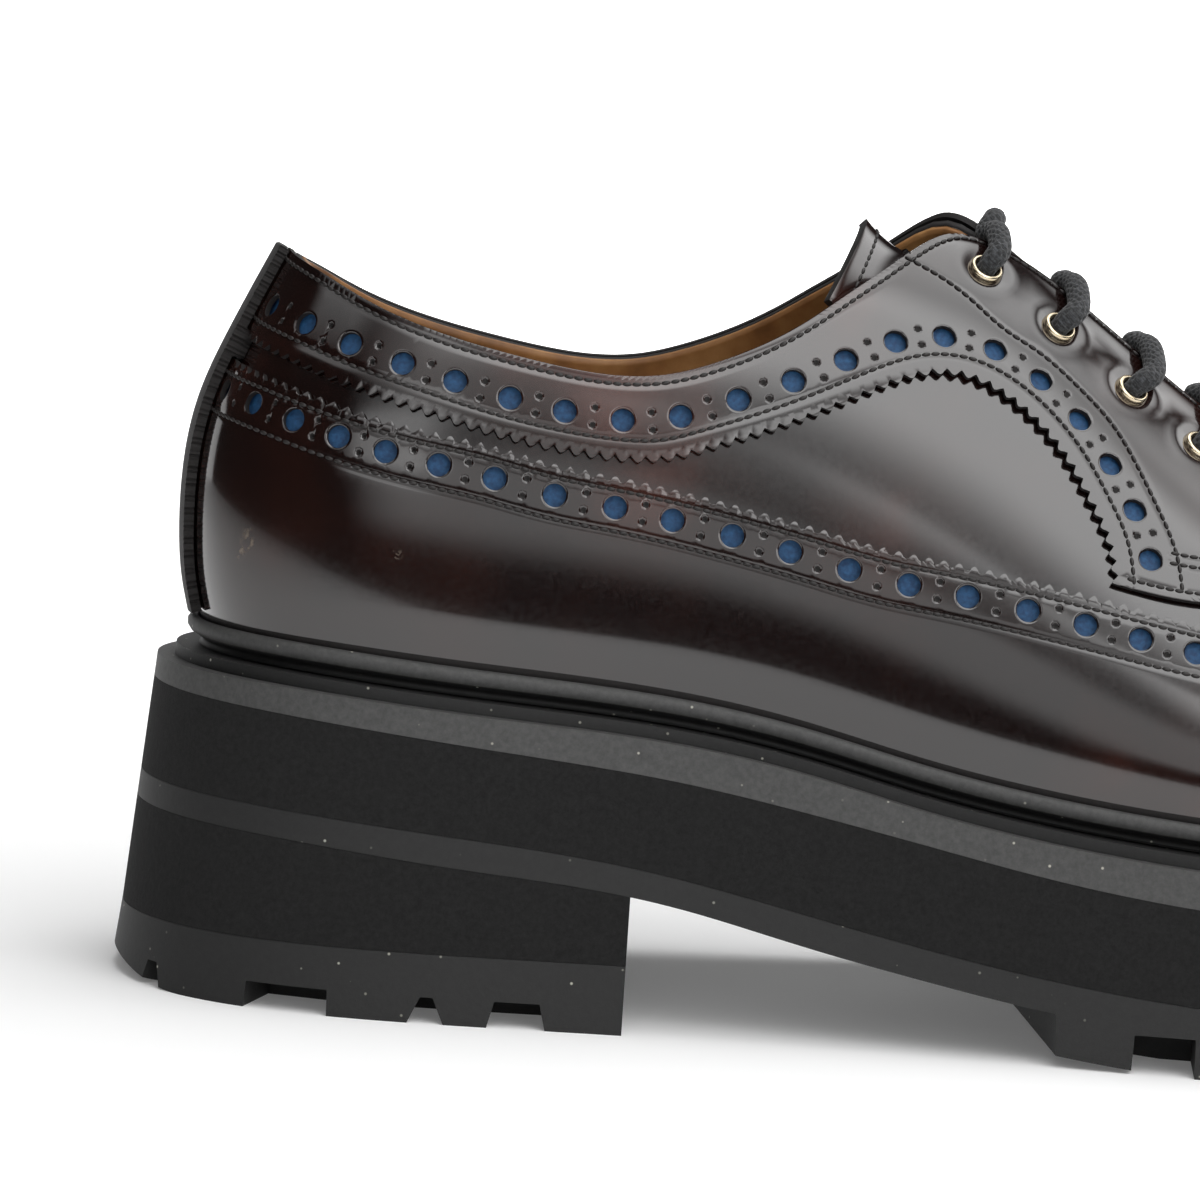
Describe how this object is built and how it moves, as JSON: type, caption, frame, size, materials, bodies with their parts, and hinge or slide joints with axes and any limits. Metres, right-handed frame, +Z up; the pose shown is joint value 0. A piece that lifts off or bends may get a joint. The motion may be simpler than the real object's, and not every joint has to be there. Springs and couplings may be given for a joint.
{
  "type": "brogue shoe",
  "caption": "Right longwing derby brogue: perforated wing and facing overlays on a hollow laced upper, on a layered platform sole with a lugged heel and forefoot.",
  "frame": {"origin": "middle of the sole's outline, on the floor", "axes": "+X from heel to toe, +Y to the inner side of the foot, +Z up"},
  "size_m": [0.3153, 0.1219, 0.1405],
  "materials": {
    "burgundy_leather": "brushed-off, high gloss",
    "dark_leather": "gloss with raw cut edges",
    "tan_leather": "matt lining leather",
    "grey_rubber": "matt with pale specks",
    "black_foam": "fine-celled matt foam",
    "brass": "satin",
    "black_cord": "round waxed braid"
  },
  "bodies": {
    "root": {"upper": "burgundy_leather", "wing": "burgundy_leather", "facing_lateral": "burgundy_leather", "facing_medial": "burgundy_leather", "tongue": "burgundy_leather", "backstay": "dark_leather", "insole": "tan_leather", "welt": "grey_rubber", "runner": "grey_rubber", "rubber_layer": "grey_rubber", "platform": "black_foam", "outsole": "grey_rubber", "heel_wedge": "black_foam", "heel_lift": "grey_rubber", "eyelet_lateral_1": "brass", "eyelet_lateral_2": "brass", "eyelet_lateral_3": "brass", "eyelet_lateral_4": "brass", "eyelet_lateral_5": "brass", "eyelet_medial_1": "brass", "eyelet_medial_2": "brass", "eyelet_medial_3": "brass", "eyelet_medial_4": "brass", "eyelet_medial_5": "brass", "lace_bar_1": "black_cord", "lace_bar_2": "black_cord", "lace_bar_3": "black_cord", "lace_bar_4": "black_cord", "lace_bar_5": "black_cord"}
  },
  "joints": []
}
